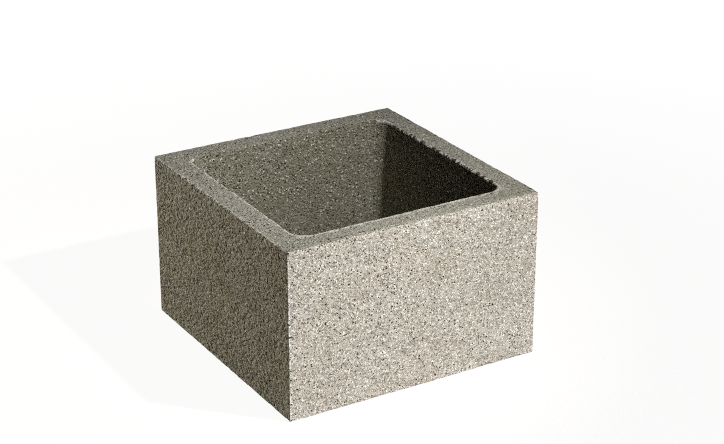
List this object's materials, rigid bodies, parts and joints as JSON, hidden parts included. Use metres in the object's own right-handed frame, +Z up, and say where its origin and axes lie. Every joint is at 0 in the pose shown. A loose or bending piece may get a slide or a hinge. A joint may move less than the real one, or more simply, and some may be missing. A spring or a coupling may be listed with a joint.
{
  "type": "pillar block",
  "caption": "Hollow square concrete block for building pillars, with plain outer faces and a tapered, round-cornered core open at both beds for bars and poured fill.",
  "frame": {"origin": "centre of the lower bed face", "axes": "+Z up through the open core, X along the block's width and Y along its depth, with the face seen broadest in the picture towards -Y"},
  "size_m": [0.4, 0.4, 0.25],
  "materials": {
    "concrete": "fine-grained dry-cast concrete, matt, with pale and dark sand grains and pinholes"
  },
  "bodies": {
    "root": {"pillar_block": "concrete"}
  },
  "joints": []
}
